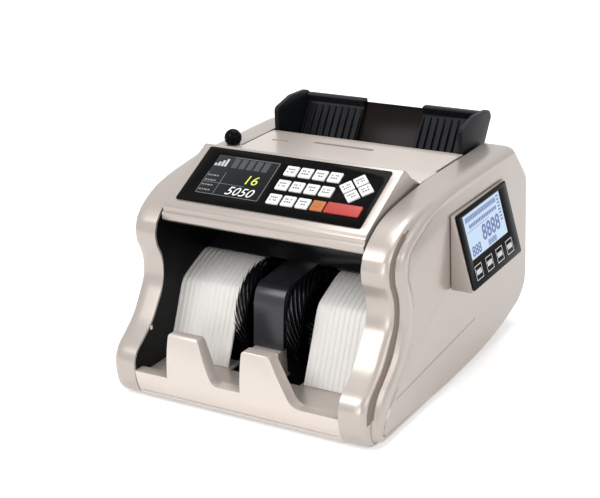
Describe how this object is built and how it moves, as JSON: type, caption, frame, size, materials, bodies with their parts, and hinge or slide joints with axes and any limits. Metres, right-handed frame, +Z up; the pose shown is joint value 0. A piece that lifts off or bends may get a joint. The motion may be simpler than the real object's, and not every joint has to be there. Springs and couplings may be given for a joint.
{
  "type": "banknote counting machine",
  "caption": "Desktop banknote counter: rear feed hopper with paired sliding guides, sloping keypad and display pod, open front stacker with vaned wheels, and a side display",
  "frame": {"origin": "centre of the whole bounding box in plan, on the table plane under the feet", "axes": "+X to the right of someone facing the front, +Y to the rear, +Z up"},
  "size_m": [0.3024, 0.3298, 0.222],
  "materials": {
    "champagne_shell": "satin champagne lacquer",
    "gloss_black": "polished black",
    "black_plastic": "fine-grained black",
    "ivory_plastic": "ribbed ivory",
    "key_white": "satin white",
    "key_orange": "satin orange",
    "key_red": "satin red",
    "screen_dark": "polished window",
    "screen_pale": "polished window",
    "steel": "turned and brushed",
    "black_steel": "black powder coat",
    "rubber": "matt",
    "board_green": "solder mask"
  },
  "bodies": {
    "machine": {"right_side_cover": "champagne_shell", "left_side_cover": "champagne_shell", "front_tray": "champagne_shell", "control_pod": "champagne_shell", "side_display_bezel": "champagne_shell", "panel_overlay": "gloss_black", "side_display_panel": "gloss_black", "side_frame_right": "black_steel", "side_frame_left": "black_steel", "base_pan": "black_steel", "rear_cover": "black_plastic", "power_inlet": "black_plastic", "pod_base": "black_plastic", "hopper_back": "black_plastic", "chute_nose": "black_plastic", "stacker_plate_right": "ivory_plastic", "stacker_plate_left": "ivory_plastic", "foot_front_left": "rubber", "foot_front_right": "rubber", "foot_rear_left": "rubber", "foot_rear_right": "rubber", "drive_belt": "rubber", "main_motor": "steel", "power_supply": "steel", "main_board": "board_green", "display_module": "screen_dark", "side_display_screen": "screen_pale"},
    "top_flap": {"top_flap": "champagne_shell"},
    "hopper_guide_left": {"hopper_guide_left": "black_plastic"},
    "hopper_guide_right": {"hopper_guide_right": "black_plastic"},
    "guide_pinion": {"guide_pinion": "ivory_plastic"},
    "feed_gap_knob": {"feed_gap_knob": "gloss_black"},
    "power_switch": {"power_switch": "black_plastic"},
    "transport": {"transport_shaft": "steel", "transport_drum": "rubber"},
    "stacking": {"stacking_shaft": "steel", "stacking_wheel_left": "rubber", "stacking_wheel_right": "rubber", "stacking_pulley": "black_plastic"},
    "feed": {"feed_shaft": "steel", "feed_roller_left": "rubber", "feed_roller_right": "rubber"},
    "motor_rotor": {"motor_pulley": "steel"},
    "key_lower_1": {"key_lower_1": "key_white"},
    "key_lower_2": {"key_lower_2": "key_white"},
    "key_lower_3": {"key_lower_3": "key_white"},
    "key_lower_4": {"key_lower_4": "key_orange"},
    "key_middle_1": {"key_middle_1": "key_white"},
    "key_middle_2": {"key_middle_2": "key_white"},
    "key_middle_3": {"key_middle_3": "key_white"},
    "key_middle_4": {"key_middle_4": "key_white"},
    "key_upper_1": {"key_upper_1": "key_white"},
    "key_upper_2": {"key_upper_2": "key_white"},
    "key_upper_3": {"key_upper_3": "key_white"},
    "key_upper_4": {"key_upper_4": "key_white"},
    "key_arrow_up": {"key_arrow_up": "key_white"},
    "key_arrow_right": {"key_arrow_right": "key_white"},
    "key_arrow_down": {"key_arrow_down": "key_white"},
    "key_arrow_left": {"key_arrow_left": "key_white"},
    "key_start": {"key_start": "key_red"}
  },
  "joints": [
    {"name": "key_lower_1_press", "type": "slide", "parent": "machine", "child": "key_lower_1", "axis": [0, -0.4633, 0.8862], "range_m": [-0.0008, 0], "stiffness_N_per_m": 150},
    {"name": "key_lower_2_press", "type": "slide", "parent": "machine", "child": "key_lower_2", "axis": [0, -0.4633, 0.8862], "range_m": [-0.0008, 0], "stiffness_N_per_m": 150},
    {"name": "key_lower_3_press", "type": "slide", "parent": "machine", "child": "key_lower_3", "axis": [0, -0.4633, 0.8862], "range_m": [-0.0008, 0], "stiffness_N_per_m": 150},
    {"name": "key_lower_4_press", "type": "slide", "parent": "machine", "child": "key_lower_4", "axis": [0, -0.4633, 0.8862], "range_m": [-0.0008, 0], "stiffness_N_per_m": 150},
    {"name": "key_middle_1_press", "type": "slide", "parent": "machine", "child": "key_middle_1", "axis": [0, -0.4633, 0.8862], "range_m": [-0.0008, 0], "stiffness_N_per_m": 150},
    {"name": "key_middle_2_press", "type": "slide", "parent": "machine", "child": "key_middle_2", "axis": [0, -0.4633, 0.8862], "range_m": [-0.0008, 0], "stiffness_N_per_m": 150},
    {"name": "key_middle_3_press", "type": "slide", "parent": "machine", "child": "key_middle_3", "axis": [0, -0.4633, 0.8862], "range_m": [-0.0008, 0], "stiffness_N_per_m": 150},
    {"name": "key_middle_4_press", "type": "slide", "parent": "machine", "child": "key_middle_4", "axis": [0, -0.4633, 0.8862], "range_m": [-0.0008, 0], "stiffness_N_per_m": 150},
    {"name": "key_upper_1_press", "type": "slide", "parent": "machine", "child": "key_upper_1", "axis": [0, -0.4633, 0.8862], "range_m": [-0.0008, 0], "stiffness_N_per_m": 150},
    {"name": "key_upper_2_press", "type": "slide", "parent": "machine", "child": "key_upper_2", "axis": [0, -0.4633, 0.8862], "range_m": [-0.0008, 0], "stiffness_N_per_m": 150},
    {"name": "key_upper_3_press", "type": "slide", "parent": "machine", "child": "key_upper_3", "axis": [0, -0.4633, 0.8862], "range_m": [-0.0008, 0], "stiffness_N_per_m": 150},
    {"name": "key_upper_4_press", "type": "slide", "parent": "machine", "child": "key_upper_4", "axis": [0, -0.4633, 0.8862], "range_m": [-0.0008, 0], "stiffness_N_per_m": 150},
    {"name": "key_arrow_up_press", "type": "slide", "parent": "machine", "child": "key_arrow_up", "axis": [0, -0.4633, 0.8862], "range_m": [-0.0008, 0], "stiffness_N_per_m": 150},
    {"name": "key_arrow_right_press", "type": "slide", "parent": "machine", "child": "key_arrow_right", "axis": [0, -0.4633, 0.8862], "range_m": [-0.0008, 0], "stiffness_N_per_m": 150},
    {"name": "key_arrow_down_press", "type": "slide", "parent": "machine", "child": "key_arrow_down", "axis": [0, -0.4633, 0.8862], "range_m": [-0.0008, 0], "stiffness_N_per_m": 150},
    {"name": "key_arrow_left_press", "type": "slide", "parent": "machine", "child": "key_arrow_left", "axis": [0, -0.4633, 0.8862], "range_m": [-0.0008, 0], "stiffness_N_per_m": 150},
    {"name": "key_start_press", "type": "slide", "parent": "machine", "child": "key_start", "axis": [0, -0.4633, 0.8862], "range_m": [-0.0008, 0], "stiffness_N_per_m": 150},
    {"name": "top_flap_hinge", "type": "hinge", "parent": "machine", "child": "top_flap", "pos_m": [-0.01118, -0.00356, 0.1918], "axis": [1, 0, 0], "range_deg": [0, 70]},
    {"name": "guide_left_slide", "type": "slide", "parent": "machine", "child": "hopper_guide_left", "axis": [1, 0, 0], "range_m": [0, 0.022]},
    {"name": "guide_right_slide", "type": "slide", "parent": "machine", "child": "hopper_guide_right", "axis": [-1, 0, 0], "range_m": [0, 0.022]},
    {"name": "guide_pinion_turn", "type": "hinge", "parent": "machine", "child": "guide_pinion", "pos_m": [-0.01118, 0.13464, 0.1625], "axis": [0, 1, 0], "range_deg": [-172, 0]},
    {"name": "feed_gap_knob_turn", "type": "hinge", "parent": "machine", "child": "feed_gap_knob", "pos_m": [-0.12818, 0.03014, 0.1925], "axis": [0, 0, 1], "range_deg": [-150, 150]},
    {"name": "power_switch_rock", "type": "hinge", "parent": "machine", "child": "power_switch", "pos_m": [-0.08318, 0.16224, 0.1145], "axis": [1, 0, 0], "range_deg": [-20, 0]},
    {"name": "transport_spin", "type": "hinge", "parent": "machine", "child": "transport", "pos_m": [-0.01118, 0.04964, 0.1145], "axis": [1, 0, 0], "continuous": true},
    {"name": "motor_spin", "type": "hinge", "parent": "machine", "child": "motor_rotor", "pos_m": [-0.01118, -0.00536, 0.0465], "axis": [1, 0, 0], "continuous": true},
    {"name": "stacking_spin", "type": "hinge", "parent": "machine", "child": "stacking", "pos_m": [-0.01118, -0.06036, 0.0685], "axis": [1, 0, 0], "continuous": true},
    {"name": "feed_spin", "type": "hinge", "parent": "machine", "child": "feed", "pos_m": [-0.01118, 0.09464, 0.135], "axis": [1, 0, 0], "continuous": true}
  ],
  "couplings": [
    {"joint": "guide_right_slide", "follows": "guide_left_slide", "ratio": 1},
    {"joint": "guide_pinion_turn", "follows": "guide_left_slide", "rad_per_m": -136.05},
    {"joint": "motor_spin", "follows": "transport_spin", "ratio": 1.5},
    {"joint": "stacking_spin", "follows": "transport_spin", "ratio": 0.66667},
    {"joint": "feed_spin", "follows": "transport_spin", "ratio": 0.9}
  ]
}
